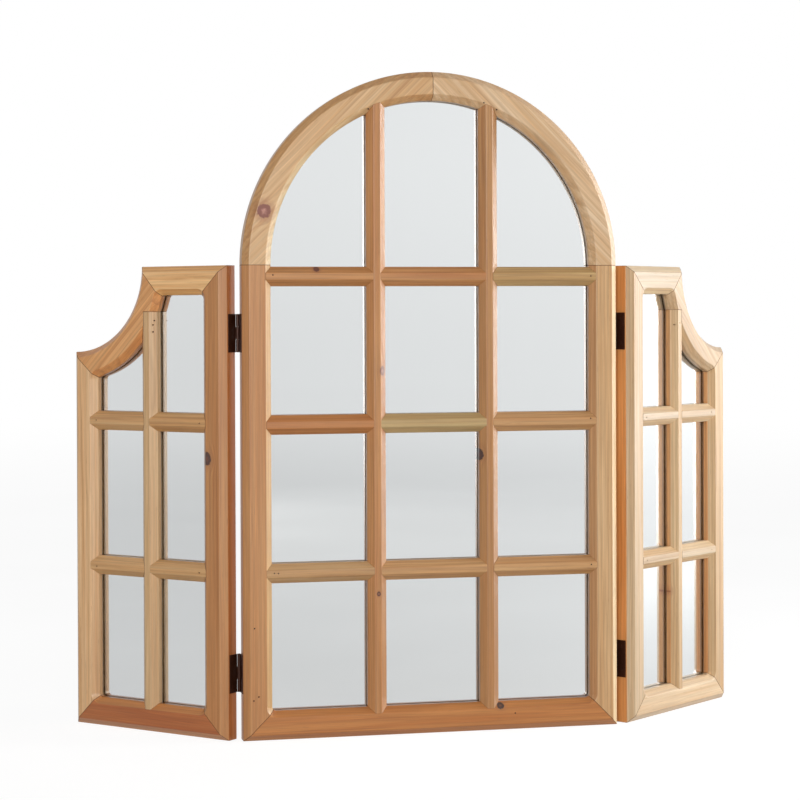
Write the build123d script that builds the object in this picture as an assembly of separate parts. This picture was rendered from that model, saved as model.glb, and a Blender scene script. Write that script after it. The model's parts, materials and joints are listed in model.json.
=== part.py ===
from build123d import *
import os
from math import cos, radians, sin, sqrt

# A free-standing three-panel windowpane mirror in pine, in millimetres. The centre panel has a
# half-round top. A narrower wing hangs on each side of it from a pair of butt hinges, and both
# wings fold back. Every panel is a mitred, moulded frame with one sheet of mirror behind
# glazing bars.

# Section of the frame members. The moulding is a 45-degree chamfer on both face arrises.
thickness = 26.0
member_width = 39.0
moulding = 8.5
glass_depth = 17.0
rebate_width = 8.0
router_radius = 5.5

# Centre panel. The arch springs from the tops of the stiles.
panel_width = 520.0
stile_height = 630.0
pane_columns = 3

# Wings. The scoop is a quarter circle centred on the outer top corner.
wing_width = 259.0
scoop_radius = 116.0
wing_folds = {"left": 45.5, "right": 38.0}

# Glazing bars, of one section everywhere, and the clear heights of the panes from the bottom up.
bar_width = 26.0
centre_pane_heights = {"bottom": 169.0, "middle": 171.0, "top": 171.0}
wing_pane_heights = {"lower": 169.0, "upper": 173.0}

# Sheets in the rebate, from the lip backwards, and the points that hold them.
sheet_clearance = 1.0
mirror_thickness = 3.0
backing_thickness = 3.0
point_size = (14.0, 8.0, 0.6)

# Butt hinges, flat on the stile edges with their knuckles behind the panels.
hinge_height = 51.0
hinge_centres = {"lower": 88.0, "upper": 540.0}
knuckle_radius = 2.25
knuckle_count = 3
knuckle_gap = 0.2
pin_radius = 1.2
pin_clearance = 0.05
pin_setback = 2.5
leaf_thickness = 1.0
leaf_reach = 18.5

# Places that follow from the sizes above. The origin is at the middle of the flat underside of
# the centre's bottom rail, which lies behind its chamfered front arris.
back_y = (thickness - moulding) / 2
pin_y = back_y + pin_setback
pin_x = panel_width / 2 + knuckle_radius
arch_radius = panel_width / 2
lip_z = thickness - glass_depth
half_bar = bar_width / 2
bar_flat = half_bar - moulding
rebate_inset = member_width - rebate_width
opening_width = panel_width - 2 * member_width
pane_width = (opening_width - (pane_columns - 1) * bar_width) / pane_columns
upright_x = (pane_width + bar_width) / 2
wing_bar_x = wing_width / 2
sides = {"left": -1, "right": 1}


def closed_face(*edges):
    """A flat face inside lines and arcs that run end to end."""
    outline = edges[0]
    for edge in edges[1:]:
        outline = outline + edge
    return make_face(outline.edges())


def arched_sheet(inset):
    """The centre panel's outline, moved in by inset."""
    half = panel_width / 2 - inset
    foot = inset
    crown = stile_height + arch_radius - inset
    return closed_face(
        Line((-half, foot), (half, foot)),
        Line((half, foot), (half, stile_height)),
        ThreePointArc((half, stile_height), (0, crown), (-half, stile_height)),
        Line((-half, stile_height), (-half, foot)),
    )


def scoop_reach(inset):
    """How far from the scoop's centre it meets the edges, when all are moved in by inset."""
    return sqrt((scoop_radius + inset) ** 2 - inset**2)


def scooped_sheet(inset):
    """A wing's outline, moved in by inset. X runs outwards from its hinge edge."""
    outer = wing_width - inset
    top = stile_height - inset
    reach = scoop_reach(inset)
    scoop_side = (outer, stile_height - reach)
    scoop_top = (wing_width - reach, top)
    diagonal = (scoop_radius + inset) * cos(radians(45))
    scoop_middle = (wing_width - diagonal, stile_height - diagonal)
    return closed_face(
        Line((inset, inset), (outer, inset)),
        Line((outer, inset), scoop_side),
        ThreePointArc(scoop_side, scoop_middle, scoop_top),
        Line(scoop_top, (inset, top)),
        Line((inset, top), (inset, inset)),
    )


def moulded_frame(outline, opening, rebate):
    """A whole frame, glued up and moulded. It lies on its back with its face at Z = thickness."""
    frame = extrude(outline - opening, thickness)
    arrises = frame.faces().sort_by(Axis.Z)[-1].edges()
    frame = chamfer(arrises, moulding)
    return frame - extrude(rebate, lip_z)


def member(frame, *corners):
    """The one member of a frame that lies inside a region bounded by its joint lines."""
    region = make_face(Polyline(*corners, close=True).edges())
    return frame & extrude(region, thickness)


def bar_blank(length):
    """A straight glazing bar along X, flat on the mirror, with both face arrises moulded."""
    shoulder = thickness - moulding
    section = make_face(
        Polyline(
            (-half_bar, lip_z),
            (half_bar, lip_z),
            (half_bar, shoulder),
            (bar_flat, thickness),
            (-bar_flat, thickness),
            (-half_bar, shoulder),
            close=True,
        ).edges()
    )
    return extrude(Plane.YZ * section, length)


def cross_bar(start_x, end_x, y):
    return Pos(start_x, y, 0) * bar_blank(end_x - start_x)


def upright_bar(x, start_y, end_y):
    return Pos(x, start_y, 0) * Rot(0, 0, 90) * bar_blank(end_y - start_y)


def bar_heights(panes):
    """Centre height of the cross bar above each pane, counted up from the bottom rail."""
    heights = {}
    y = member_width - half_bar
    for row, pane in panes.items():
        y += pane + bar_width
        heights[row] = y
    return heights


def sheets(outline_at):
    """The mirror against the lip of the rebate, and the backing against the mirror."""
    outline = outline_at(rebate_inset + sheet_clearance)
    mirror_z = lip_z - mirror_thickness
    backing_z = mirror_z - backing_thickness
    glass = Pos(0, 0, mirror_z) * extrude(outline, mirror_thickness)
    board = Pos(0, 0, backing_z) * extrude(outline, backing_thickness)
    return glass, board


def glazing_point(x, y, angle):
    """A flat steel point on the backing, half of its length driven into the rebate's wall."""
    length, width, sheet = point_size
    z = lip_z - mirror_thickness - backing_thickness - sheet / 2
    return Pos(x, y, z) * Rot(0, 0, angle) * Box(length, width, sheet)


def mitred_foot(side_x, inner_x, depth):
    """Corners of a mitre line at a frame's foot, from outside the frame to inside its opening."""
    step = 1 if inner_x > side_x else -1
    return (side_x - step, -1), (side_x + step * depth, depth)


def centre_members(frame):
    """The five members, cut apart at the two mitres, the spring line and the crown."""
    half = panel_width / 2
    depth = member_width + rebate_width
    left_out, left_in = mitred_foot(-half, 0, depth)
    right_out, right_in = mitred_foot(half, 0, depth)
    above = stile_height + arch_radius + 1
    return {
        "left_stile": member(
            frame, left_out, left_in, (left_in[0], stile_height), (left_out[0], stile_height)
        ),
        "right_stile": member(
            frame, right_out, right_in, (right_in[0], stile_height), (right_out[0], stile_height)
        ),
        "bottom_rail": member(frame, left_out, right_out, right_in, left_in),
        "arch_left": member(
            frame, (-half - 1, stile_height), (0, stile_height), (0, above), (-half - 1, above)
        ),
        "arch_right": member(
            frame, (half + 1, stile_height), (0, stile_height), (0, above), (half + 1, above)
        ),
    }


def along(start, end, share):
    """The point at a share of the way from start to end, or beyond it."""
    return tuple(a + (b - a) * share for a, b in zip(start, end))


def wing_members(frame):
    """The five members of a wing, cut apart at its five mitres."""
    depth = member_width + rebate_width
    hinge_out, hinge_in = mitred_foot(0, wing_width, depth)
    outer_out, outer_in = mitred_foot(wing_width, 0, depth)
    top_out = (-1, stile_height + 1)
    top_in = (depth, stile_height - depth)
    reach = scoop_reach(member_width)
    scoop_top = (wing_width - scoop_radius, stile_height)
    scoop_top_foot = (wing_width - reach, stile_height - member_width)
    scoop_side = (wing_width, stile_height - scoop_radius)
    scoop_side_foot = (wing_width - member_width, stile_height - reach)
    high_out = along(scoop_top, scoop_top_foot, -0.05)
    high_in = along(scoop_top, scoop_top_foot, 1.4)
    low_out = along(scoop_side, scoop_side_foot, -0.05)
    low_in = along(scoop_side, scoop_side_foot, 1.4)
    beyond = (wing_width + 2, stile_height + 2)
    return {
        "hinge_stile": member(frame, hinge_out, hinge_in, top_in, top_out),
        "outer_stile": member(frame, outer_out, outer_in, low_in, low_out),
        "bottom_rail": member(frame, hinge_out, outer_out, outer_in, hinge_in),
        "top_rail": member(frame, top_out, top_in, high_in, high_out),
        "curved_rail": member(frame, high_out, high_in, low_in, low_out, beyond),
    }


def centre_points():
    """Three points up each stile, two along the bottom rail and four round the arch."""
    wall = panel_width / 2 - rebate_inset
    points = []
    for height in (120, 330, 540):
        points += [glazing_point(-wall, height, 0), glazing_point(wall, height, 0)]
    for x in (-110, 110):
        points.append(glazing_point(x, rebate_inset, 90))
    for angle in (40, 72, 108, 140):
        x = wall * cos(radians(angle))
        y = stile_height + wall * sin(radians(angle))
        points.append(glazing_point(x, y, angle))
    return points


def wing_points():
    """Three points up each stile, and one in each of the other members."""
    points = [glazing_point(rebate_inset, height, 0) for height in (120, 330, 530)]
    outer = wing_width - rebate_inset
    points += [glazing_point(outer, height, 0) for height in (120, 280, 430)]
    points.append(glazing_point(wing_width / 2, rebate_inset, 90))
    points.append(glazing_point(75, stile_height - rebate_inset, 90))
    diagonal = (scoop_radius + rebate_inset) * cos(radians(45))
    points.append(glazing_point(wing_width - diagonal, stile_height - diagonal, 45))
    return points


def cut_from(part, tools):
    """The part with a seat cut in it for each tool that reaches it."""
    for tool in tools:
        part = part - tool
    return part


def make_centre():
    """Every wooden, glass and steel piece of the centre panel, lying on its back."""
    opening = arched_sheet(member_width)
    foot_corners = opening.vertices().sort_by(Axis.Y)[:2]
    opening = fillet(foot_corners, router_radius)
    frame = moulded_frame(arched_sheet(0), opening, arched_sheet(rebate_inset))
    points = centre_points()
    pieces = {name: cut_from(part, points) for name, part in centre_members(frame).items()}

    middle_radius = arch_radius - member_width / 2
    crown_y = stile_height + sqrt(middle_radius**2 - upright_x**2)
    uprights = []
    for side, sign in sides.items():
        upright = upright_bar(sign * upright_x, member_width / 2, crown_y) - frame
        pieces[f"bar_{side}"] = upright
        uprights.append(upright)

    stile_middle = (panel_width - member_width) / 2
    columns = {
        "left": (-stile_middle, -upright_x),
        "middle": (-upright_x, upright_x),
        "right": (upright_x, stile_middle),
    }
    for row, y in bar_heights(centre_pane_heights).items():
        for column, (start, end) in columns.items():
            bar = cut_from(cross_bar(start, end, y), [frame] + uprights)
            pieces[f"crossbar_{row}_{column}"] = bar

    pieces["mirror"], pieces["backing"] = sheets(arched_sheet)
    pieces["glazing_points"] = Compound(children=points)
    return pieces


def make_wing():
    """Every wooden, glass and steel piece of the right wing, lying on its back."""
    opening = scooped_sheet(member_width)
    opening = fillet(opening.vertices(), router_radius)
    frame = moulded_frame(scooped_sheet(0), opening, scooped_sheet(rebate_inset))
    points = wing_points()
    pieces = {name: cut_from(part, points) for name, part in wing_members(frame).items()}

    # The upright bar is cut square where its hinge side runs into the curved rail, which is
    # notched over it.
    foot_radius = scoop_radius + member_width
    bar_top = stile_height - sqrt(foot_radius**2 - (wing_width - wing_bar_x + half_bar) ** 2)
    bar = upright_bar(wing_bar_x, member_width / 2, bar_top) - pieces["bottom_rail"]
    pieces["bar"] = bar
    pieces["curved_rail"] = pieces["curved_rail"] - bar

    columns = {
        "inner": (member_width / 2, wing_bar_x),
        "outer": (wing_bar_x, wing_width - member_width / 2),
    }
    for row, y in bar_heights(wing_pane_heights).items():
        for column, (start, end) in columns.items():
            crossbar = cut_from(cross_bar(start, end, y), [frame, bar])
            pieces[f"crossbar_{row}_{column}"] = crossbar

    pieces["mirror"], pieces["backing"] = sheets(scooped_sheet)
    pieces["glazing_points"] = Compound(children=points)
    return pieces


def hinge_leaf(own_knuckles, bore_radius):
    """One leaf of a butt hinge, standing round a pin on the Z axis with its plate on the -X side.

    The plate runs forwards, towards -Y. It is a tangent to the knuckles that it is rolled into,
    and it stops short of the knuckles of the other leaf.
    """
    pitch = hinge_height / knuckle_count
    plate_x = leaf_thickness / 2 - knuckle_radius
    clear = knuckle_radius + 2 * knuckle_gap
    plate_back = sqrt(clear**2 - (knuckle_radius - leaf_thickness) ** 2)
    plate_depth = leaf_reach - plate_back
    plate_y = -(leaf_reach + plate_back) / 2
    leaf = Pos(plate_x, plate_y, 0) * Box(leaf_thickness, plate_depth, hinge_height)
    for knuckle in own_knuckles:
        z = (knuckle - (knuckle_count - 1) / 2) * pitch
        height = pitch - knuckle_gap
        neck_y = -plate_back / 2
        leaf += Pos(plate_x, neck_y, z) * Box(leaf_thickness, plate_back, height)
        leaf += Pos(0, 0, z) * Cylinder(knuckle_radius, height)
        leaf -= Pos(0, 0, z) * Cylinder(bore_radius, height)
    return leaf


def handed(part, sign):
    """A piece drawn for the right side, or its mirror image for the left."""
    return part if sign > 0 else mirror(part, about=Plane.YZ)


nodes = {}

# The centre panel stands up from its drawing: its face turns to -Y and its foot to the floor.
stand_up = Rot(90, 0, 0)
for name, part in make_centre().items():
    nodes[f"centre_{name}"] = Pos(0, back_y, 0) * stand_up * part

# Each wing stands up the same way, moves to its pins and turns back about them.
wing_pieces = make_wing()
wing_turns = {}
for side, sign in sides.items():
    wing_turns[side] = Pos(sign * pin_x, pin_y, 0) * Rot(0, 0, sign * wing_folds[side])
    beside_pin = wing_turns[side] * Pos(sign * knuckle_radius, -pin_setback, 0) * stand_up
    for name, part in wing_pieces.items():
        nodes[f"{side}_wing_{name}"] = beside_pin * handed(part, sign)

# Two hinges a side. The centre's leaf holds the two end knuckles and the pin, and the wing's leaf
# has the knuckle between them, which turns on the pin.
centre_leaf = hinge_leaf((0, 2), pin_radius)
wing_leaf = mirror(hinge_leaf((1,), pin_radius + pin_clearance), about=Plane.YZ)
hinge_pin = Cylinder(pin_radius, hinge_height)
pins = []
for side, sign in sides.items():
    for level, height in hinge_centres.items():
        fixed = Pos(sign * pin_x, pin_y, height)
        turned = wing_turns[side] * Pos(0, 0, height)
        nodes[f"{side}_{level}_hinge_centre_leaf"] = fixed * handed(centre_leaf, sign)
        nodes[f"{side}_{level}_hinge_wing_leaf"] = turned * handed(wing_leaf, sign)
        pins.append(fixed * hinge_pin)
nodes["hinge_pins"] = Compound(children=pins)

os.makedirs("parts", exist_ok=True)
for name, part in nodes.items():
    export_step(part, f"parts/{name}.step")
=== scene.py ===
import json
from math import cos, radians, sin

import bmesh
import bpy
from mathutils import Matrix, Vector
from mathutils.bvhtree import BVHTree


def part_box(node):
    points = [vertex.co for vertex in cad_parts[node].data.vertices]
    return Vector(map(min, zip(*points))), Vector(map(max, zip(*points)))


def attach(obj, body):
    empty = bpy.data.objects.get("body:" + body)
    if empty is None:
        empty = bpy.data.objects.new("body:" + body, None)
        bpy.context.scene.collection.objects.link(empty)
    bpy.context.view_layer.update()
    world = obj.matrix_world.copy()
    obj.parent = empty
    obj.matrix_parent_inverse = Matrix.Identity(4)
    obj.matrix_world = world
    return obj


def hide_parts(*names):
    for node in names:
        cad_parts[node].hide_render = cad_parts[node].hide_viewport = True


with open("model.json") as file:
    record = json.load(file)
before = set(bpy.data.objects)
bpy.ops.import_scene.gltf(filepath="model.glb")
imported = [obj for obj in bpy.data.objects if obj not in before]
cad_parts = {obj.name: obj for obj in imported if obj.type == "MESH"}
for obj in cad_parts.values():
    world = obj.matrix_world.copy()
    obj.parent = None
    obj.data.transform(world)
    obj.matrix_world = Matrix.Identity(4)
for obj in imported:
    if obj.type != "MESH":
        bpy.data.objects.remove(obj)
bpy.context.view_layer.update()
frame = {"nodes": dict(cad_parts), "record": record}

# Camera
# It stands to the left of the mirror, about two thirds of the way up it, and looks almost
# level. The shift is the photograph's own crop.
eye = Vector((-0.75019, -2.86580, 0.56355))
yaw = radians(12.4706)
pitch = radians(-0.514)
roll = radians(-0.2275)
ahead = Vector((sin(yaw) * cos(pitch), cos(yaw) * cos(pitch), sin(pitch)))
level = Vector((cos(yaw), -sin(yaw), 0))
plumb = level.cross(ahead)
camera_right = level * cos(roll) + plumb * sin(roll)
camera_up = plumb * cos(roll) - level * sin(roll)
bpy.ops.object.camera_add()
camera = bpy.context.object
turn = Matrix((camera_right, camera_up, -ahead)).transposed().to_4x4()
camera.matrix_world = Matrix.Translation(eye) @ turn
camera.data.sensor_width = 36
camera.data.lens = 98.68
camera.data.shift_x = 0.0668
camera.data.shift_y = -0.0817
bpy.context.scene.camera = camera
bpy.context.scene.view_settings.view_transform = "Standard"


# Room
# White paper all round, as the camera, the metal and the glass see it, with two bright stretches
# at the right that give the edges facing right their gloss. The timber itself is lit by a much
# weaker and slightly cool room light.
def feed(tree, socket, value):
    """Links a socket to another, or sets its value."""
    if isinstance(value, bpy.types.NodeSocket):
        tree.links.new(value, socket)
    else:
        socket.default_value = value


def node(tree, kind, settings=None, **inputs):
    """One shader node, with its settings, and a value or a link for each named input."""
    made = tree.nodes.new("ShaderNode" + kind)
    for key, value in (settings or {}).items():
        setattr(made, key, value)
    for key, value in inputs.items():
        feed(tree, made.inputs[key.replace("_", " ")], value)
    return made


def maths(tree, kind, operation, *values):
    """The result of a Math or VectorMath node, whose inputs share their names."""
    made = tree.nodes.new("ShaderNode" + kind)
    made.operation = operation
    for socket, value in zip(made.inputs, values):
        feed(tree, socket, value)
    return made.outputs[0]


def length_of(tree, vector):
    made = tree.nodes.new("ShaderNodeVectorMath")
    made.operation = "LENGTH"
    tree.links.new(vector, made.inputs[0])
    return made.outputs["Value"]


def blend(tree, share, first, second, mode="MIX"):
    """Two colours mixed by a share."""
    made = tree.nodes.new("ShaderNodeMix")
    made.data_type = "RGBA"
    made.blend_type = mode
    for index, value in ((0, share), (6, first), (7, second)):
        feed(tree, made.inputs[index], value)
    return made.outputs[2]


def ranged(tree, value, low, high, first=0.0, last=1.0, ends="LINEAR"):
    """Goes from first to last while the value goes from low to high."""
    made = node(tree, "MapRange", {"interpolation_type": ends}, Value=value,
                From_Min=low, From_Max=high, To_Min=first, To_Max=last)
    return made.outputs[0]


def eased(tree, value, low, high, first=0.0, last=1.0):
    """The same, with soft ends."""
    return ranged(tree, value, low, high, first, last, "SMOOTHSTEP")


def seen_directly(tree):
    """1 for a ray that comes straight from the camera, or by way of metal or glass."""
    path = node(tree, "LightPath")
    shiny = maths(tree, "Math", "MAXIMUM", path.outputs["Is Glossy Ray"],
                  path.outputs["Is Transmission Ray"])
    return maths(tree, "Math", "MAXIMUM", path.outputs["Is Camera Ray"], shiny)


def brightness_across(tree, sine):
    """How bright the room is each way, by the sine of the angle to the right of the front."""
    return eased(tree, sine, -0.05, 1.2, 0.73, 1.15)


room_strength = 0.62
ceiling_strength = 0.12
window_strength = 4.0
world = bpy.data.worlds.new("room")
bpy.context.scene.world = world
world.use_nodes = True
tree = world.node_tree
tree.nodes.clear()
direction = node(tree, "SeparateXYZ", Vector=node(tree, "TexCoord").outputs["Generated"])
rise = direction.outputs["Z"]
higher = eased(tree, rise, -0.04, 0.08, 0.0, 0.07)
in_mirror = maths(tree, "Math", "ADD", brightness_across(tree, direction.outputs["X"]), higher)
behind = eased(tree, direction.outputs["Y"], 0.17, 0.32, 0.0, window_strength)
beside = eased(tree, direction.outputs["X"], 0.80, 0.93)
before = eased(tree, direction.outputs["Y"], -0.08, -0.22, 0.0, window_strength)
window = maths(tree, "Math", "ADD", behind, before)
window = maths(tree, "Math", "MULTIPLY", window, beside)
in_mirror = maths(tree, "Math", "ADD", in_mirror, window)
by_camera = node(tree, "LightPath").outputs["Is Camera Ray"]
paper = node(tree, "Background", Color=(1, 1, 1, 1),
             Strength=maths(tree, "Math", "MAXIMUM", by_camera, in_mirror))
dim = eased(tree, rise, 0.05, 0.65, room_strength, ceiling_strength)
room = node(tree, "Background", Color=(0.97, 0.985, 1.0, 1), Strength=dim)
choice = node(tree, "MixShader")
tree.links.new(seen_directly(tree), choice.inputs[0])
tree.links.new(room.outputs[0], choice.inputs[1])
tree.links.new(paper.outputs[0], choice.inputs[2])
node(tree, "OutputWorld", Surface=choice.outputs[0])


# Floor
# A sheet of pale paper under the mirror. Seen by the camera it is white but for the mirror's
# shadow. In the mirrors it is a shade darker than the room, and fades into it far away.
def blank_material(name):
    """A new material with an empty tree, and the tree."""
    made = bpy.data.materials.new(name)
    made.use_nodes = True
    made.node_tree.nodes.clear()
    return made, made.node_tree


floor_radius = 14.0
floor_drop = 0.0003
floor_shade = 0.16
floor_white = 0.90
stand_off = 0.9
bpy.ops.mesh.primitive_circle_add(vertices=96, radius=floor_radius, fill_type="NGON",
                                  location=(0, 0, -floor_drop))
floor = bpy.context.object
floor.name = "paper_floor"
bpy.ops.object.transform_apply()
skin, tree = blank_material("paper_floor")
place = node(tree, "TexCoord").outputs["Object"]
fade = eased(tree, length_of(tree, place), 1.5, 9.0)
by_camera = node(tree, "LightPath").outputs["Is Camera Ray"]
sideways = node(tree, "SeparateXYZ", Vector=place).outputs["X"]
reach = maths(tree, "Math", "ADD", length_of(tree, place), stand_off)
far_glow = brightness_across(tree, maths(tree, "Math", "DIVIDE", sideways, reach))
cloud = node(tree, "TexNoise", Vector=place, Scale=2.2, Detail=5.0)
mottled = ranged(tree, cloud.outputs[0], 0.3, 0.7, 0.20, 0.24)
paper_grain = node(tree, "BsdfDiffuse", Color=mottled)
near_glow = maths(tree, "Math", "SUBTRACT", far_glow, floor_shade)
white = maths(tree, "Math", "MULTIPLY", by_camera, floor_white)
glow = node(tree, "Emission", Strength=maths(tree, "Math", "MAXIMUM", near_glow, white))
near = node(tree, "AddShader")
tree.links.new(paper_grain.outputs[0], near.inputs[0])
tree.links.new(glow.outputs[0], near.inputs[1])
distant = node(tree, "Emission", Strength=maths(tree, "Math", "MAXIMUM", far_glow, by_camera))
shown = node(tree, "MixShader")
tree.links.new(fade, shown.inputs[0])
tree.links.new(near.outputs[0], shown.inputs[1])
tree.links.new(distant.outputs[0], shown.inputs[2])
plain = node(tree, "BsdfDiffuse", Color=(0.58, 0.58, 0.57, 1))
choice = node(tree, "MixShader")
tree.links.new(seen_directly(tree), choice.inputs[0])
tree.links.new(plain.outputs[0], choice.inputs[1])
tree.links.new(shown.outputs[0], choice.inputs[2])
node(tree, "OutputMaterial", Surface=choice.outputs[0])
floor.data.materials.append(skin)


# Lamps
# A wide soft one in front, and a tall one at the right, a little in front of the panel, that
# skims over every edge facing right. The front one is hidden from rays that have been through
# glass, because in a mirror it would show as white bands beside the bars.
def soft_lamp(name, azimuth, elevation, distance, width, height, power, colour):
    """An area lamp aimed at the mirror's middle. Its azimuth is to the right of the front."""
    a = radians(azimuth)
    e = radians(elevation)
    aim = Vector((0, 0, 0.45))
    place = aim + distance * Vector((sin(a) * cos(e), -cos(a) * cos(e), sin(e)))
    bpy.ops.object.light_add(type="AREA", location=place)
    lamp = bpy.context.object
    lamp.name = name
    lamp.rotation_euler = (place - aim).to_track_quat("Z", "Y").to_euler()
    lamp.data.shape = "RECTANGLE"
    lamp.data.size = width
    lamp.data.size_y = height
    lamp.data.energy = power
    lamp.data.color = colour
    return lamp


front_lamp = soft_lamp("front_lamp", -17, 8, 3.8, 2.2, 1.8, 78.0, (1.0, 0.98, 0.95))
front_lamp.visible_transmission = False
soft_lamp("right_lamp", 81, 4, 2.4, 0.8, 1.7, 44.0, (1.0, 0.99, 0.97))

# Brads
# Thin nails through the bars near their ends, punched just under the surface. Their holes, and a
# small slot at the left wing's foot, are cut in each timber as it is made.
folds = {"left": radians(45.5), "right": radians(38.0)}
signs = {"left": -1, "right": 1}
right = Vector((1, 0, 0))
up = Vector((0, 0, 1))
front = Vector((0, -1, 0))
centre_face = 0.01725
pin_out = 0.26225
pin_back = 0.01125
edge_from_pin = 0.00225
face_from_pin = 0.0285


def wing_axes(side):
    """The way out from the hinge along a wing, and the way that the wing faces."""
    s = signs[side]
    a = folds[side]
    return Vector((s * cos(a), sin(a), 0)), Vector((s * sin(a), -cos(a), 0))


facings = {"centre": front}
for side in ("left", "right"):
    facings[side + "_wing"] = wing_axes(side)[1]


def pin_of(side):
    """The foot of the axis that a wing turns on."""
    return Vector((signs[side] * pin_out, pin_back, 0))


def wing_point(side, u, z, depth=0.0):
    """A point on a wing: u out from its hinge edge, z up, and depth behind its face."""
    out, face = wing_axes(side)
    on_axis = pin_of(side) + up * z
    return on_axis + out * (edge_from_pin + u) + face * (face_from_pin - depth)


def panel_point(panel, across, z, depth=0.0):
    """A point on any panel: X on the centre, or the distance out from a wing's hinge edge."""
    if panel == "centre":
        return Vector((across, depth - centre_face, z))
    return wing_point(panel.removesuffix("_wing"), across, z, depth)


def deselect_all():
    if bpy.context.object and bpy.context.object.mode != "OBJECT":
        bpy.ops.object.mode_set(mode="OBJECT")
    bpy.ops.object.select_all(action="DESELECT")


def repeated(pattern, places, name):
    """Copies of a small part, each with its own mesh, turned to face out and joined."""
    copies = []
    for point, facing in places:
        copy = bpy.data.objects.new(name, pattern.data.copy())
        bpy.context.scene.collection.objects.link(copy)
        aim = Vector(facing).to_track_quat("Z", "Y").to_matrix().to_4x4()
        copy.data.transform(Matrix.Translation(point) @ aim)
        copies.append(copy)
    deselect_all()
    for copy in copies:
        copy.select_set(True)
    bpy.context.view_layer.objects.active = copies[0]
    bpy.ops.object.join()
    return bpy.context.object


brad_radius = 0.0011
punched = 0.0009
punch_length = 0.0024
bevel_depth = 0.0040
brad_spots = {
    "centre": [(-0.2194, 0.6167), (0.2215, 0.6154), (0.2205, 0.4212), (0.2210, 0.2216), (-0.2190, 0.2222),
               (-0.2135, 0.2219), (-0.2406, 0.0595), (-0.2473, 0.0545), (0.0708, 0.8490),
               (0.0889, 0.8400),
               (-0.0891, 0.8380), (-0.2460, 0.1500), (0.1120, 0.0230)],
    "left_wing": [(0.1211, 0.5511, bevel_depth), (0.1211, 0.5416, bevel_depth),
                  (0.1195, 0.5570, bevel_depth), (0.0410, 0.4202), (0.2175, 0.4206),
                  (0.0420, 0.2212), (0.2175, 0.2198)],
    "right_wing": [(0.1211, 0.5480, bevel_depth), (0.1290, 0.5505), (0.0400, 0.4196), (0.2170, 0.4205),
                   (0.0410, 0.2208), (0.2170, 0.2212)],
}
deselect_all()
bpy.ops.mesh.primitive_cylinder_add(vertices=12, radius=brad_radius, depth=punch_length)
punch = bpy.context.object
hole_cutters = {}
for panel, spots in brad_spots.items():
    places = [(panel_point(panel, *spot), facings[panel]) for spot in spots]
    hole_cutters[panel] = repeated(punch, places, panel + "_brad_holes")
bpy.data.objects.remove(punch)

slot_at = panel_point("left_wing", 0.2248, 0.0362, 0.0046)
slot_radius = 0.0015
slot_stretch = 2.3
slot_depth = 0.006
bpy.ops.mesh.primitive_cylinder_add(vertices=20, radius=slot_radius, depth=slot_depth)
slot_cutter = bpy.context.object
bpy.ops.object.mode_set(mode="EDIT")
bpy.ops.transform.resize(value=(slot_stretch, 1.0, 1.0))
bpy.ops.object.mode_set(mode="OBJECT")
out, face = wing_axes("left")
aim = Matrix((-out, -up, face)).transposed().to_4x4()
slot_cutter.data.transform(Matrix.Translation(slot_at) @ aim)


def cut(piece, cutter):
    """Boolean difference, for real holes in the timber."""
    tool = piece.modifiers.new("hole", "BOOLEAN")
    tool.operation = "DIFFERENCE"
    tool.object = cutter
    bpy.context.view_layer.objects.active = piece
    bpy.ops.object.modifier_apply(modifier=tool.name)


# Stiles of the centre panel
# Two straight lengths of planed pine, 39 by 26 mm, moulded with the rest of the frame once it is
# glued up. They are mitred at the foot and butt against the arch at the top.
arris = 0.0008
joint_share = 0.5
touching = 0.00004
nearby = 0.001
box_slack = 0.0002
doubles_within = 0.000004
flat_within = radians(0.4)
arris_from = radians(25)
smooth_within = radians(32)
bodies = frame["record"]["behaviour"]["bodies"]
body_of = {name: body for body, names in bodies.items() for name in names}
slot_of = {part["node"]: part["material_slot"] for part in frame["record"]["subparts"]}
pine_nodes = [name for name, slot in slot_of.items() if slot == "pine"]
glass_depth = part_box("centre_mirror")[0].y + centre_face
foot_reach = 0.006
foot_height = 0.0030
moulding_depth = 0.0085
bevel_starts = 0.0006
tint_edge = 0.0003


def tree_of(name):
    """A search tree of a CAD piece's faces."""
    mesh = frame["nodes"][name].data
    points = [v.co for v in mesh.vertices]
    return BVHTree.FromPolygons(points, [f.vertices for f in mesh.polygons])


pine_trees = {name: tree_of(name) for name in pine_nodes}
mirror_trees = {panel: tree_of(panel + "_mirror") for panel in facings}


def panel_of(name):
    """The panel that a timber belongs to."""
    return name[:name.index("_", 6)] if "wing" in name else "centre"


def mark_faces(piece, panel):
    """Marks the walls that stand on the glass, for the painted shade along their feet, and how far
    each bevel faces right, for the painted sheen that makes those bevels paler."""
    foot = piece.data.attributes.new("foot", "FLOAT", "FACE")
    painted_sheen_share = piece.data.attributes.new("painted_sheen_share", "FLOAT", "FACE")
    for face in piece.data.polygons:
        glass_near = mirror_trees[panel].find_nearest(face.center, foot_reach)[0] is not None
        outwards = face.normal.dot(facings[panel])
        foot.data[face.index].value = float(abs(outwards) < 0.3 and glass_near)
        sheen_weight = min(1, max(0, 1.6 * face.normal.x - 0.1))
        on_bevel = 0.3 < outwards < 0.95
        painted_sheen_share.data[face.index].value = sheen_weight * on_bevel


def copy_of(name, ending):
    """A copy of a CAD piece with its loose triangles merged, alone and selected."""
    deselect_all()
    piece = bpy.data.objects.new(name + ending, frame["nodes"][name].data.copy())
    bpy.context.scene.collection.objects.link(piece)
    piece.select_set(True)
    bpy.context.view_layer.objects.active = piece
    bpy.ops.mesh.customdata_custom_splitnormals_clear()
    bpy.ops.object.mode_set(mode="EDIT")
    bpy.ops.mesh.select_all(action="SELECT")
    bpy.ops.mesh.remove_doubles(threshold=doubles_within)
    bpy.ops.object.mode_set(mode="OBJECT")
    return piece


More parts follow.
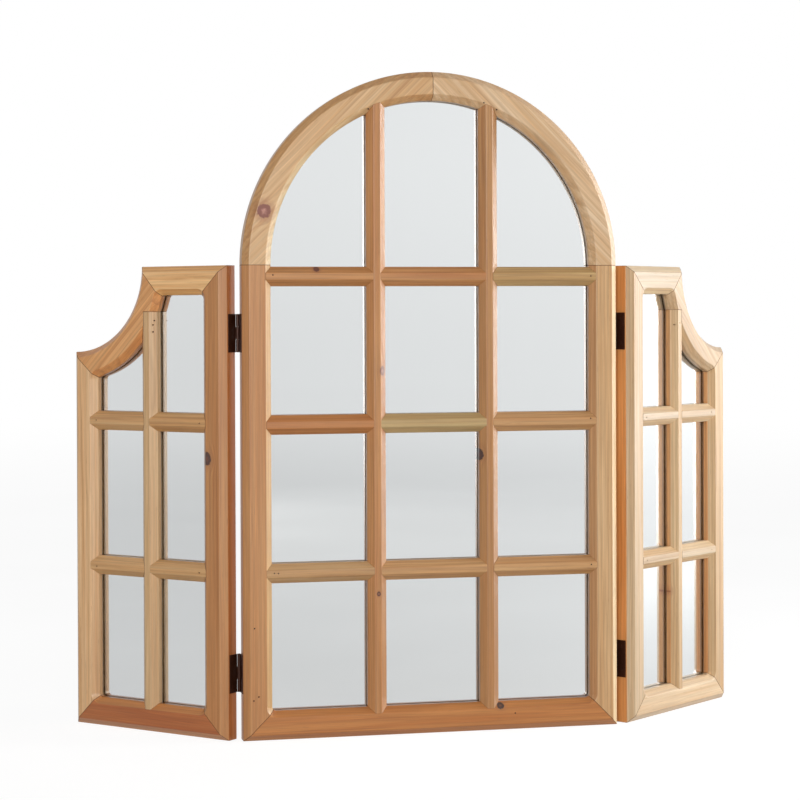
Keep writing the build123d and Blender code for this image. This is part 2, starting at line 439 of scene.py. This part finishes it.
def glued(corners, normal, neighbours):
    """True where a whole triangle lies on the faces of other pieces."""
    centre = sum(corners, Vector()) / 3
    samples = [centre] + [corner.lerp(centre, 0.1) for corner in corners]
    for point in samples:
        met = False
        for tree in neighbours:
            spot, facing = tree.find_nearest(point, touching)[:2]
            met = met or (spot is not None and facing.dot(normal) < -0.9)
        if not met:
            return False
    return True


def near_pieces(name):
    low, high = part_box(name)
    found = []
    for other in pine_nodes:
        other_low, other_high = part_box(other)
        apart = any(low[i] > other_high[i] + nearby or high[i] < other_low[i] - nearby for i in range(3))
        if other != name and not apart and body_of[other] == body_of[name]:
            found.append(pine_trees[other])
    return found


def sanded(name):
    """The piece as it leaves the workshop, with soft arrises and a fine line at each joint."""
    piece = copy_of(name, "_timber")
    neighbours = near_pieces(name)
    mesh = piece.data
    mesh.materials.clear()
    for face in mesh.polygons:
        corners = [mesh.vertices[i].co for i in face.vertices]
        face.material_index = int(glued(corners, face.normal, neighbours))
    bpy.ops.object.mode_set(mode="EDIT")
    bpy.ops.mesh.select_all(action="SELECT")
    bpy.ops.mesh.dissolve_limited(angle_limit=flat_within, delimit={"MATERIAL"})
    shape = bmesh.from_edit_mesh(mesh)
    weight = shape.edges.layers.float.new("bevel_weight_edge")
    for edge in shape.edges:
        if len(edge.link_faces) == 2 and edge.is_convex and edge.calc_face_angle() > arris_from:
            glue_sides = sum(face.material_index for face in edge.link_faces)
            edge[weight] = (1.0, joint_share, 0.0)[glue_sides]
    bmesh.update_edit_mesh(mesh)
    bpy.ops.object.mode_set(mode="OBJECT")
    soft = piece.modifiers.new("soft_arris", "BEVEL")
    soft.limit_method = "WEIGHT"
    soft.width = arris
    soft.segments = 2
    soft.use_clamp_overlap = False
    bpy.ops.object.modifier_apply(modifier=soft.name)
    low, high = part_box(name)
    for vertex in mesh.vertices:
        vertex.co = [min(max(vertex.co[i], low[i]), high[i]) for i in range(3)]
    darken_joints(mesh)
    panel = panel_of(name)
    if any(inside_box(panel_point(panel, *spot), name) for spot in brad_spots[panel]):
        cut(piece, hole_cutters[panel])
    if name == "left_wing_outer_stile":
        cut(piece, slot_cutter)
    bpy.ops.object.shade_smooth_by_angle(angle=smooth_within)
    even = piece.modifiers.new("even_light", "WEIGHTED_NORMAL")
    even.keep_sharp = True
    bpy.ops.object.modifier_apply(modifier=even.name)
    return piece


def inside_box(point, name):
    low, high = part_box(name)
    return all(low[i] - box_slack < point[i] < high[i] + box_slack for i in range(3))


def darken_joints(mesh):
    """The narrow strip beside each glued face takes the dark glue line."""
    shape = bmesh.new()
    shape.from_mesh(mesh)
    strips = []
    for face in shape.faces:
        longest = max(edge.calc_length() for edge in face.edges)
        narrow = face.calc_area() / longest < arris * joint_share
        beside = any(other.material_index == 1 for edge in face.edges for other in edge.link_faces)
        if face.material_index == 0 and narrow and beside:
            strips.append(face)
    for face in strips:
        face.material_index = 1
    shape.to_mesh(mesh)
    shape.free()


def glue_line():
    made, tree = blank_material("glue_line")
    place = node(tree, "TexCoord").outputs["Object"]
    grime = node(tree, "TexNoise", Vector=place, Scale=90.0, Detail=3.0)
    tone = blend(tree, grime.outputs[0], (0.11, 0.042, 0.014, 1), (0.22, 0.090, 0.032, 1))
    body = node(tree, "BsdfPrincipled", Base_Color=tone, Roughness=0.75)
    node(tree, "OutputMaterial", Surface=body.outputs[0])
    return made


glue = glue_line()


def local_axes(along, facing):
    """Columns along the grain, across the face, and out of the face."""
    x = Vector(along).normalized()
    z = Vector(facing).normalized()
    return Matrix((x, z.cross(x), z)).transposed()


def grain_noise(tree, place, along, across, detail=2.0, roughness=0.5):
    """Noise drawn out along the grain, by its scales along and across it."""
    drawn = maths(tree, "VectorMath", "MULTIPLY", place, (along, across, across))
    made = node(tree, "TexNoise", Vector=drawn, Scale=1.0, Detail=detail, Roughness=roughness)
    return made.outputs[0]


def pine(name, tone, along, facing, centre, seed, pith=(0.06, -0.03), spacing=0.0036, strength=1.0,
         knots=(), edge_tint=None, bevel_tint=None, right_tint=None):
    """Planed pine: growth rings round a pith, bent a little along the board, with fine fibres."""
    axes = local_axes(along, facing)
    made, tree = blank_material(name)
    place = node(tree, "TexCoord").outputs["Object"]
    board = node(tree, "Mapping", {"vector_type": "TEXTURE"}, Vector=place,
                 Location=centre, Rotation=axes.to_euler()).outputs[0]
    shifted = maths(tree, "VectorMath", "ADD", board, (seed * 3.7, seed * 1.9, seed * 2.3))
    drawn = maths(tree, "VectorMath", "MULTIPLY", shifted, (0.13, 1, 1))
    slow = node(tree, "TexNoise", Vector=drawn, Scale=11.0, Detail=2.0)
    quick = node(tree, "TexNoise", Vector=drawn, Scale=70.0, Detail=3.0)
    sway = maths(tree, "VectorMath", "SUBTRACT", slow.outputs["Color"], (0.5, 0.5, 0.5))
    sway = maths(tree, "VectorMath", "MULTIPLY", sway, (0, 0.016, 0.016))
    ripple = maths(tree, "VectorMath", "SUBTRACT", quick.outputs["Color"], (0.5, 0.5, 0.5))
    ripple = maths(tree, "VectorMath", "MULTIPLY", ripple, (0, 0.0016, 0.0016))
    bent = maths(tree, "VectorMath", "ADD", maths(tree, "VectorMath", "ADD", board, sway), ripple)
    for knot in knots:
        bent = pushed_aside(tree, bent, board, axes, centre, knot)
    rings_at = node(tree, "Mapping", Vector=bent, Location=(0, -pith[0], -pith[1])).outputs[0]
    slender = maths(tree, "VectorMath", "MULTIPLY", rings_at, (0.10, 1, 1))
    rings = node(tree, "TexWave", {"wave_type": "RINGS", "rings_direction": "X", "wave_profile": "SAW"},
                 Vector=slender, Scale=0.31416 / spacing, Distortion=3.2, Detail=2.0, Detail_Scale=0.8)
    late = node(tree, "ValToRGB", Fac=rings.outputs["Fac"])
    ramp(late, ((0.0, 0.25), (0.08, 0.0), (0.45, 0.12), (0.80, 0.75), (0.92, 1.0), (1.0, 0.3)))
    broad = node(tree, "TexNoise", Vector=drawn, Scale=34.0, Detail=2.0)
    some = ranged(tree, broad.outputs[0], 0.32, 0.68, 0.25, 1.0)
    late_wood = maths(tree, "Math", "MULTIPLY", late.outputs[0], some)
    late_wood = maths(tree, "Math", "MULTIPLY", late_wood, 0.55 * strength)

    fibres = grain_noise(tree, shifted, 11, 520, detail=3.0, roughness=0.6)
    hairs = grain_noise(tree, shifted, 38, 2100)
    patches = grain_noise(tree, shifted, 2.2, 17)
    bands = grain_noise(tree, shifted, 4, 170)
    canals = grain_noise(tree, shifted, 60, 1150, detail=1.0)

    early = tuple(min(1.0, c * k) for c, k in zip(tone, (1.10, 1.12, 1.14)))
    dark = tuple(c * k for c, k in zip(tone, (0.68, 0.52, 0.38)))
    colour = blend(tree, late_wood, (*early, 1), (*dark, 1))
    warmth = ranged(tree, patches, 0.30, 0.70)
    tint = blend(tree, warmth, (0.93, 0.86, 0.76, 1), (1.05, 1.07, 1.10, 1))
    colour = blend(tree, 1.0, colour, tint, "MULTIPLY")
    streak = ranged(tree, fibres, 0.25, 0.75, 0.80, 1.14)
    colour = blend(tree, 1.0, colour, streak, "MULTIPLY")
    wide_streak = ranged(tree, bands, 0.30, 0.70)
    tint = blend(tree, wide_streak, (0.90, 0.80, 0.68, 1), (1.04, 1.08, 1.13, 1))
    colour = blend(tree, 1.0, colour, tint, "MULTIPLY")
    fine = ranged(tree, hairs, 0.25, 0.75, 0.93, 1.05)
    colour = blend(tree, 1.0, colour, fine, "MULTIPLY")
    fleck = ranged(tree, canals, 0.70, 0.78, 0.0, 0.45)
    colour = blend(tree, fleck, colour, (0.22, 0.085, 0.03, 1))
    for knot in knots:
        colour = knotted(tree, colour, board, axes, centre, knot)

    height_on_board = node(tree, "SeparateXYZ", Vector=board).outputs["Z"]
    to_panel = panel_point(panel_of(name), 0, 0, glass_depth) - Vector(centre)
    glass_at = to_panel.dot(Vector(facing))
    sheen_weight = node(tree, "Attribute", {"attribute_name": "painted_sheen_share"}).outputs["Fac"]
    # Painted sheen: bevels that face right are made paler and creamier, in place of the gloss that the
    # lamp at the right gives them.
    if right_tint and not bevel_tint:
        tint = blend(tree, sheen_weight, (1, 1, 1, 1), (*right_tint, 1))
        colour = blend(tree, 1.0, colour, tint, "MULTIPLY")
    # Painted shade and sheen: below the moulding, and below the face, the colour is multiplied by the
    # piece's own tints; most darken and warm walls and bevels as painted shade, a few lighten bevels as
    # painted sheen.
    for depth, tint in ((moulding_depth, edge_tint), (bevel_starts, bevel_tint)):
        if tint:
            at = glass_at + glass_depth - depth
            deep = ranged(tree, height_on_board, at - tint_edge, at + tint_edge, 1.0, 0.0)
            tint = (*tint, 1)
            if right_tint:
                tint = blend(tree, sheen_weight, tint, (*right_tint, 1))
            tint = blend(tree, deep, (1, 1, 1, 1), tint)
            colour = blend(tree, 1.0, colour, tint, "MULTIPLY")
    # Painted shade: the foot of each wall that stands on the glass turns near black over its lowest few
    # millimetres, where the gap under it lies in shade.
    above = eased(tree, height_on_board, glass_at + 0.0006, glass_at + foot_height, 1.0, 0.0)
    standing = node(tree, "Attribute", {"attribute_name": "foot"}).outputs["Fac"]
    foot_shade = maths(tree, "Math", "MULTIPLY", above, standing)
    colour = blend(tree, foot_shade, colour, (0.030, 0.012, 0.005, 1))

    gloss = ranged(tree, fibres, 0.2, 0.8, 0.36, 0.50)
    height = maths(tree, "Math", "MULTIPLY_ADD", late_wood, -0.5, fibres)
    height = maths(tree, "Math", "MULTIPLY_ADD", hairs, 0.5, height)
    relief = node(tree, "Bump", Strength=0.5, Distance=0.0002, Height=height)
    body = node(tree, "BsdfPrincipled", Base_Color=colour, Roughness=gloss, Normal=relief.outputs[0])
    body.inputs["IOR"].default_value = 1.5
    body.inputs["Coat Weight"].default_value = 0.5
    body.inputs["Coat Roughness"].default_value = 0.34
    node(tree, "OutputMaterial", Surface=body.outputs[0])
    return made


def ramp(ramp_node, stops):
    """Sets a colour ramp's grey stops."""
    band = ramp_node.color_ramp
    while len(band.elements) < len(stops):
        band.elements.new(0.5)
    for element, (position, grey) in zip(band.elements, stops):
        element.position = position
        element.color = (grey, grey, grey, 1)


def knot_distance(tree, board, axes, centre, knot):
    """1 at the knot's edge. It is longer along the grain, and runs through the board."""
    place = axes.transposed() @ (Vector(knot["at"]) - Vector(centre))
    wide = knot["radius"]
    long = wide * knot.get("stretch", 1.25)
    middle = node(tree, "Mapping", {"vector_type": "TEXTURE"}, Vector=board, Location=place,
                  Scale=(long, wide, 1.0)).outputs[0]
    middle = maths(tree, "VectorMath", "MULTIPLY", middle, (1, 1, 0.05))
    return middle, length_of(tree, middle)


def pushed_aside(tree, bent, board, axes, centre, knot):
    """The rings part and flow round a knot."""
    middle, distance = knot_distance(tree, board, axes, centre, knot)
    near = ranged(tree, distance, 0.6, 3.4, 1.0, 0.0, "SMOOTHERSTEP")
    pull = maths(tree, "VectorMath", "MULTIPLY", middle, (0, -0.75 * knot["radius"], 0))
    scaled = tree.nodes.new("ShaderNodeVectorMath")
    scaled.operation = "SCALE"
    tree.links.new(pull, scaled.inputs[0])
    tree.links.new(near, scaled.inputs["Scale"])
    return maths(tree, "VectorMath", "ADD", bent, scaled.outputs[0])


def knotted(tree, colour, board, axes, centre, knot):
    """The knot's own wood, its dark rim and the stained wood round it."""
    middle, distance = knot_distance(tree, board, axes, centre, knot)
    wobble = node(tree, "TexNoise", Vector=middle, Scale=2.3, Detail=3.0)
    distance = maths(tree, "Math", "MULTIPLY_ADD", wobble.outputs[0], 1.0, distance)
    distance = maths(tree, "Math", "SUBTRACT", distance, 0.50)
    stain = eased(tree, distance, 1.0, 2.3, knot.get("stain", 0.35), 0.0)
    colour = blend(tree, stain, colour, (0.33, 0.12, 0.045, 1))
    rings = node(tree, "TexWave", {"wave_type": "RINGS", "rings_direction": "SPHERICAL"}, Vector=middle,
                 Scale=1.6, Distortion=2.0, Detail=2.0)
    heart = knot.get("heart", (0.42, 0.17, 0.10))
    rim = knot.get("rim", (0.16, 0.045, 0.02))
    wood = blend(tree, rings.outputs["Fac"], (*heart, 1), tuple(c * 0.60 for c in heart) + (1,))
    edge = eased(tree, distance, 0.0, 0.62)
    wood = blend(tree, edge, wood, (*rim, 1))
    inside = eased(tree, distance, 0.88, 1.12, 1.0, 0.0)
    return blend(tree, inside, colour, wood)


def finish_pine(name, tone, along, facing, seed, **figure):
    """Dresses one pine piece: its sanded copy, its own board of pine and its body."""
    piece = sanded(name)
    low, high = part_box(name)
    centre = (low + high) / 2
    mark_faces(piece, panel_of(name))
    piece.data.materials.append(pine(name + "_pine", tone, along, facing, centre, seed, **figure))
    piece.data.materials.append(glue)
    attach(piece, body_of[name])
    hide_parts(name)
    return piece


honey = (0.50, 0.235, 0.081)
straw = (0.54, 0.305, 0.130)
# Both stiles' bevels facing right are painted paler, as painted sheen; the right stile's other bevels and
# walls are painted darker, as painted shade.
finish_pine("centre_left_stile", honey, up, front, 1, pith=(-0.045, -0.05), spacing=0.0052,
            right_tint=(1.28, 1.70, 2.10))
finish_pine("centre_right_stile", (0.59, 0.37, 0.182), up, front, 2, pith=(0.07, -0.02), spacing=0.0046,
            bevel_tint=(0.84, 0.70, 0.58), right_tint=(1.34, 1.62, 1.95))

# Bottom rail of the centre panel
# The same section as the stiles, mitred into both. It is the reddest board of the frame.
finish_pine("centre_bottom_rail", (0.49, 0.195, 0.046), right, front, 3, pith=(-0.03, -0.06),
            spacing=0.0044,
            knots=[{"at": panel_point("centre", 0.0918, 0.0335), "radius": 0.0040,
                    "rim": (0.05, 0.018, 0.008),
                    "heart": (0.20, 0.07, 0.03)}])

# Arch
# Two curved pieces sawn from wide boards, so the straight grain runs off across the curve. They
# meet at the crown and stand on the stiles.
large_knot = {"at": panel_point("centre", -0.2311, 0.7011), "radius": 0.0090, "stretch": 1.05,
              "heart": (0.60, 0.27, 0.20), "rim": (0.20, 0.048, 0.026), "stain": 0.5}
# The arch's bevels and walls are painted darker than its faces, as painted shade, and the left piece's
# bevels facing right paler, as painted sheen.
finish_pine("centre_arch_left", (0.60, 0.38, 0.190), (1, 0, 1), front, 4, pith=(0.10, -0.035),
            spacing=0.0085,
            strength=0.9, bevel_tint=(0.84, 0.72, 0.56), right_tint=(1.26, 1.50, 1.75),
            knots=[large_knot])
finish_pine("centre_arch_right", (0.66, 0.46, 0.275), (1, 0, -1), front, 5, pith=(0.12, -0.035),
            spacing=0.0076,
            strength=0.8, bevel_tint=(0.94, 0.90, 0.84))

# Upright glazing bars of the centre panel
# Two lengths of 26 by 17 mm bar with both arrises moulded. They lie on the mirror, and are coped
# over the moulding of the bottom rail and of the arch.
bar_bevel = 0.00375
finish_pine("centre_bar_left", honey, up, front, 6, pith=(0.05, -0.05), spacing=0.0040,
            knots=[{"at": panel_point("centre", -0.0706, 0.4885, bar_bevel), "radius": 0.0040,
                    "rim": (0.20, 0.07, 0.03), "stretch": 1.6},
                   {"at": panel_point("centre", -0.0773, 0.1906), "radius": 0.0026,
                    "rim": (0.10, 0.03, 0.015)}])
finish_pine("centre_bar_right", (0.44, 0.215, 0.076), up, front, 7, pith=(-0.06, -0.03), spacing=0.0038,
            knots=[{"at": panel_point("centre", 0.0650, 0.3740, bar_bevel), "radius": 0.0046,
                    "stretch": 1.7,
                    "heart": (0.14, 0.035, 0.015), "rim": (0.05, 0.015, 0.008)}])

# Cross bars of the centre panel
# Nine short lengths of the same bar, coped at both ends over the uprights and the stiles. They
# come from different boards, so their colours differ.
cross_bar_tones = {
    "bottom_left": (0.52, 0.315, 0.145),
    "bottom_middle": straw,
    "bottom_right": straw,
    "middle_left": (0.48, 0.200, 0.056),
    "middle_middle": (0.48, 0.34, 0.155),
    "middle_right": straw,
    "top_left": (0.45, 0.200, 0.060),
    "top_middle": honey,
    "top_right": (0.49, 0.32, 0.135),
}
cross_bar_knots = {
    "top_left": [{"at": panel_point("centre", -0.160, 0.6245, bar_bevel), "radius": 0.0032,
                  "heart": (0.20, 0.045, 0.015),
                  "rim": (0.11, 0.026, 0.008), "stain": 0.7}],
}
for seed, (place, tone) in enumerate(cross_bar_tones.items()):
    finish_pine("centre_crossbar_" + place, tone, right, front, 10 + seed,
                pith=(0.03 - 0.012 * (seed % 4), -0.045),
                spacing=0.0034 + 0.0003 * (seed % 3), knots=cross_bar_knots.get(place, ()))

# Wing timbers
# Each wing is a mitred frame of five pieces, of the same section as the centre's, with one
# upright bar and four cross bars. The curved rail is sawn from a wide board.
wing_tones = {
    "left": {"hinge_stile": (0.50, 0.230, 0.078), "outer_stile": (0.80, 0.51, 0.270),
             "bottom_rail": (0.45, 0.140, 0.032),
             "top_rail": (0.88, 0.56, 0.27), "curved_rail": (0.72, 0.375, 0.150),
             "bar": (0.64, 0.415, 0.21),
             "crossbar_lower_inner": (0.62, 0.37, 0.165), "crossbar_lower_outer": (0.66, 0.40, 0.185),
             "crossbar_upper_inner": (0.62, 0.36, 0.155), "crossbar_upper_outer": (0.64, 0.38, 0.170)},
    # The right wing's tones are paler and greyer than the others, partly paler boards and partly painted
    # sheen from the lamp at its right.
    "right": {"hinge_stile": (0.56, 0.40, 0.235), "outer_stile": (0.58, 0.40, 0.215),
              "bottom_rail": (0.68, 0.50, 0.31),
              "top_rail": (0.52, 0.40, 0.26), "curved_rail": (0.55, 0.39, 0.23),
              "bar": (0.57, 0.39, 0.205),
              "crossbar_lower_inner": (0.54, 0.40, 0.25), "crossbar_lower_outer": (0.54, 0.40, 0.25),
              "crossbar_upper_inner": (0.54, 0.41, 0.27), "crossbar_upper_outer": (0.54, 0.41, 0.27)},
}
wing_seeds = {"left": 20, "right": 50}
wing_knots = {
    ("left", "hinge_stile"): [{"at": wing_point("left", 0.0281, 0.3732), "radius": 0.0062,
                               "stretch": 1.45,
                               "heart": (0.20, 0.06, 0.025), "rim": (0.07, 0.022, 0.01)}],
    ("right", "bar"): [{"at": wing_point("right", 0.112, 0.170), "radius": 0.0042,
                        "rim": (0.22, 0.07, 0.03)}],
}
# Painted shade and sheen: some wing timbers have their walls painted warmer and darker, and their bevels
# painted darker as shade or paler as sheen.
edge_tints = {("left", "hinge_stile"): (0.96, 0.69, 0.44), ("right", "hinge_stile"): (1.22, 0.78, 0.42),
              ("right", "outer_stile"): (1.12, 0.80, 0.56), ("right", "bar"): (1.05, 0.80, 0.60)}
bevel_tints = {("left", "top_rail"): (0.88, 0.72, 0.50), ("left", "curved_rail"): (0.92, 0.78, 0.60),
               ("left", "outer_stile"): (0.84, 0.80, 0.74), ("left", "bottom_rail"): (1.25, 1.65, 2.0),
               ("right", "top_rail"): (1.35, 1.35, 1.30)}
for level in ("upper", "lower"):
    for place in ("inner", "outer"):
        bevel_tints["right", f"crossbar_{level}_{place}"] = (1.32, 1.32, 1.30)
for side in ("left", "right"):
    out, face = wing_axes(side)
    ways = {"hinge_stile": up, "outer_stile": up, "bar": up, "curved_rail": out - up}
    for seed, (place, tone) in enumerate(wing_tones[side].items()):
        finish_pine(side + "_wing_" + place, tone, ways.get(place, out), face, wing_seeds[side] + seed,
                    pith=(0.05 - 0.02 * (seed % 5), -0.04 - 0.01 * (seed % 2)),
                    spacing=0.0038 + 0.0004 * (seed % 3),
                    knots=wing_knots.get((side, place), ()), edge_tint=edge_tints.get((side, place)),
                    bevel_tint=bevel_tints.get((side, place)))


# Mirrors
# A sheet of 3 mm float glass, silvered on its back, in each rebate. The bars lie on the front of
# the glass, so their feet show double in it.
def clear_glass():
    made, tree = blank_material("clear_glass")
    place = node(tree, "TexCoord").outputs["Object"]
    smear = node(tree, "TexNoise", Vector=place, Scale=14.0, Detail=5.0)
    rough = ranged(tree, smear.outputs[0], 0.45, 0.85, 0.0, 0.015)
    body = node(tree, "BsdfPrincipled", Roughness=rough)
    body.inputs["Base Color"].default_value = (0.965, 0.985, 0.98, 1)
    body.inputs["IOR"].default_value = 1.5
    body.inputs["Transmission Weight"].default_value = 1.0
    node(tree, "OutputMaterial", Surface=body.outputs[0])
    return made


def silvering():
    made, tree = blank_material("silvering")
    place = node(tree, "TexCoord").outputs["Object"]
    cloud = node(tree, "TexNoise", Vector=place, Scale=5.0, Detail=4.0)
    tone = blend(tree, cloud.outputs[0], (0.935, 0.94, 0.95, 1), (0.95, 0.955, 0.965, 1))
    body = node(tree, "BsdfPrincipled", Base_Color=tone, Metallic=1.0, Roughness=0.01)
    node(tree, "OutputMaterial", Surface=body.outputs[0])
    return made


glass = clear_glass()
silver = silvering()
sheet_gap = 0.0001
for panel, facing in facings.items():
    name = panel + "_mirror"
    piece = copy_of(name, "_sheet")
    mesh = piece.data
    mesh.materials.clear()
    mesh.materials.append(glass)
    mesh.materials.append(silver)
    bpy.ops.object.mode_set(mode="EDIT")
    bpy.ops.mesh.select_all(action="SELECT")
    bpy.ops.mesh.dissolve_limited(angle_limit=flat_within)
    shape = bmesh.from_edit_mesh(mesh)
    for way in (1, -1):
        bpy.ops.mesh.select_all(action="DESELECT")
        for f in shape.faces:
            if way * f.normal.dot(facing) > 0.5:
                f.select = True
                f.material_index = int(way < 0)
        bmesh.update_edit_mesh(mesh)
        bpy.ops.transform.translate(value=facing * -way * sheet_gap)
    bpy.ops.object.mode_set(mode="OBJECT")
    bpy.ops.object.shade_flat()
    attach(piece, body_of[name])
    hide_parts(name)


# Backing boards
# Smooth brown hardboard behind each mirror, with the finely pressed fibres it has.
def hardboard():
    made, tree = blank_material("hardboard")
    place = node(tree, "TexCoord").outputs["Object"]
    pulp = node(tree, "TexNoise", Vector=place, Scale=420.0, Detail=4.0, Roughness=0.7)
    cloud = node(tree, "TexNoise", Vector=place, Scale=9.0, Detail=3.0)
    tone = blend(tree, cloud.outputs[0], (0.17, 0.085, 0.038, 1), (0.25, 0.13, 0.062, 1))
    speck = ranged(tree, pulp.outputs[0], 0.3, 0.7, 0.75, 1.2)
    tone = blend(tree, 1.0, tone, speck, "MULTIPLY")
    relief = node(tree, "Bump", Strength=0.35, Distance=0.0002, Height=pulp.outputs[0])
    body = node(tree, "BsdfPrincipled", Base_Color=tone, Roughness=0.58, Normal=relief.outputs[0])
    node(tree, "OutputMaterial", Surface=body.outputs[0])
    return made


board = hardboard()
for panel in facings:
    frame["nodes"][panel + "_backing"].material_slots[0].material = board


# Glazing points
# Small flat steel points, pushed into the wall of the rebate to hold the backing.
def bright_steel():
    made, tree = blank_material("bright_steel")
    place = node(tree, "TexCoord").outputs["Object"]
    rust = node(tree, "TexNoise", Vector=place, Scale=160.0, Detail=4.0)
    tone = blend(tree, rust.outputs[0], (0.50, 0.50, 0.51, 1), (0.66, 0.66, 0.67, 1))
    rough = ranged(tree, rust.outputs[0], 0.0, 1.0, 0.25, 0.5)
    body = node(tree, "BsdfPrincipled", Base_Color=tone, Metallic=1.0, Roughness=rough)
    node(tree, "OutputMaterial", Surface=body.outputs[0])
    return made


steel = bright_steel()
for panel in facings:
    frame["nodes"][panel + "_glazing_points"].material_slots[0].material = steel


# Hinges
# Two dark bronzed butt hinges on each side, with three knuckles round a pin. Their leaves are
# pressed plate, screwed flat to the edges of the stiles.
def dark_bronze():
    made, tree = blank_material("dark_bronze")
    place = node(tree, "TexCoord").outputs["Object"]
    rub = node(tree, "TexNoise", Vector=place, Scale=240.0, Detail=4.0)
    tone = blend(tree, rub.outputs[0], (0.020, 0.005, 0.0015, 1), (0.065, 0.016, 0.004, 1))
    rough = ranged(tree, rub.outputs[0], 0.0, 1.0, 0.32, 0.55)
    relief = node(tree, "Bump", Strength=0.3, Distance=0.00008, Height=rub.outputs[0])
    body = node(tree, "BsdfPrincipled", Base_Color=tone, Metallic=0.4, Roughness=rough,
                Normal=relief.outputs[0])
    node(tree, "OutputMaterial", Surface=body.outputs[0])
    return made


def stamped_leaf(name):
    """A leaf in its own place on the stile's edge, with the soft edges of pressed plate."""
    piece = copy_of(name, "_stamped")
    bpy.ops.object.mode_set(mode="EDIT")
    bpy.ops.mesh.select_all(action="SELECT")
    bpy.ops.mesh.dissolve_limited(angle_limit=flat_within)
    bpy.ops.object.mode_set(mode="OBJECT")
    soft = piece.modifiers.new("soft_edge", "BEVEL")
    soft.limit_method = "ANGLE"
    soft.angle_limit = radians(40)
    soft.width = 0.00015
    bpy.ops.object.modifier_apply(modifier=soft.name)
    bpy.ops.object.shade_smooth_by_angle(angle=smooth_within)
    piece.data.materials.clear()
    piece.data.materials.append(bronze)
    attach(piece, body_of[name])
    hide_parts(name)


bronze = dark_bronze()
frame["nodes"]["hinge_pins"].material_slots[0].material = bronze
for side in ("left", "right"):
    for level in ("lower", "upper"):
        for panel in ("centre", "wing"):
            stamped_leaf(f"{side}_{level}_hinge_{panel}_leaf")


# Brad heads
# Small steel heads, gone as brown as the hinges, at the bottom of the punched holes. Each has a
# shallow dish in its middle.
def select_top(mesh):
    """Selects only the faces that point up, in edit mode."""
    shape = bmesh.from_edit_mesh(mesh)
    bpy.ops.mesh.select_all(action="DESELECT")
    for f in shape.faces:
        f.select = f.normal.z > 0.5
    bmesh.update_edit_mesh(mesh)


head_radius = brad_radius * 0.97
head_thickness = 0.0006
head_ring = brad_radius * 0.3
head_dish = 0.0001
deselect_all()
bpy.ops.mesh.primitive_cylinder_add(vertices=12, radius=head_radius, depth=head_thickness)
head = bpy.context.object
bpy.ops.object.mode_set(mode="EDIT")
select_top(head.data)
bpy.ops.mesh.inset(thickness=head_ring)
bpy.ops.transform.translate(value=(0, 0, head_dish))
bpy.ops.mesh.inset(thickness=head_ring)
bpy.ops.transform.translate(value=(0, 0, -head_dish))
bpy.ops.object.mode_set(mode="OBJECT")
for panel, spots in brad_spots.items():
    places = []
    for spot in spots:
        point = panel_point(panel, *spot)
        places.append((point - facings[panel] * (punched + head_thickness / 2), facings[panel]))
    brads = repeated(head, places, panel + "_brads")
    brads.data.materials.append(bronze)
    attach(brads, body_of[panel + "_mirror"])
bpy.data.objects.remove(head)
for cutter in (*hole_cutters.values(), slot_cutter):
    bpy.data.objects.remove(cutter)

# Hinge screws
# Two slotted countersunk screws in each leaf. Their heads stand a hair proud of the leaf.
screw_radius = 0.0027
screw_head = 0.0012
screw_rise = 0.00025
screw_edge = 0.0002
slit_size = (0.007, 0.0008, 0.0012)
leaf_face = 0.00125
screw_from_pin = 0.0115
screw_spread = 0.016
hinge_heights = (0.088, 0.540)
deselect_all()
bpy.ops.mesh.primitive_cylinder_add(vertices=28, radius=screw_radius, depth=screw_head,
                                    location=(0, 0, screw_rise - screw_head / 2))
screw = bpy.context.object
bpy.ops.object.transform_apply()
bpy.ops.object.mode_set(mode="EDIT")
select_top(screw.data)
bpy.ops.mesh.bevel(offset=screw_edge, segments=2)
bpy.ops.object.mode_set(mode="OBJECT")
deselect_all()
bpy.ops.mesh.primitive_cube_add(size=1.0)
slit = bpy.context.object
bpy.ops.object.mode_set(mode="EDIT")
bpy.ops.transform.resize(value=slit_size)
bpy.ops.transform.translate(value=(0, 0, screw_rise))
bpy.ops.object.mode_set(mode="OBJECT")
cut(screw, slit)
bpy.data.objects.remove(slit)
bpy.context.view_layer.objects.active = screw
screw.select_set(True)
bpy.ops.object.shade_smooth_by_angle(angle=radians(35))
screw_places = {panel: [] for panel in facings}
for side in ("left", "right"):
    inwards = Vector((-signs[side], 0, 0))
    for panel, out in (("centre", inwards), (side + "_wing", wing_axes(side)[0])):
        for height in hinge_heights:
            for z in (height - screw_spread, height + screw_spread):
                point = pin_of(side) + facings[panel] * screw_from_pin + out * leaf_face + up * z
                screw_places[panel].append((point, -out))
for panel, places in screw_places.items():
    screws = repeated(screw, places, panel + "_hinge_screws")
    screws.data.materials.append(bronze)
    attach(screws, body_of[panel + "_mirror"])
bpy.data.objects.remove(screw)
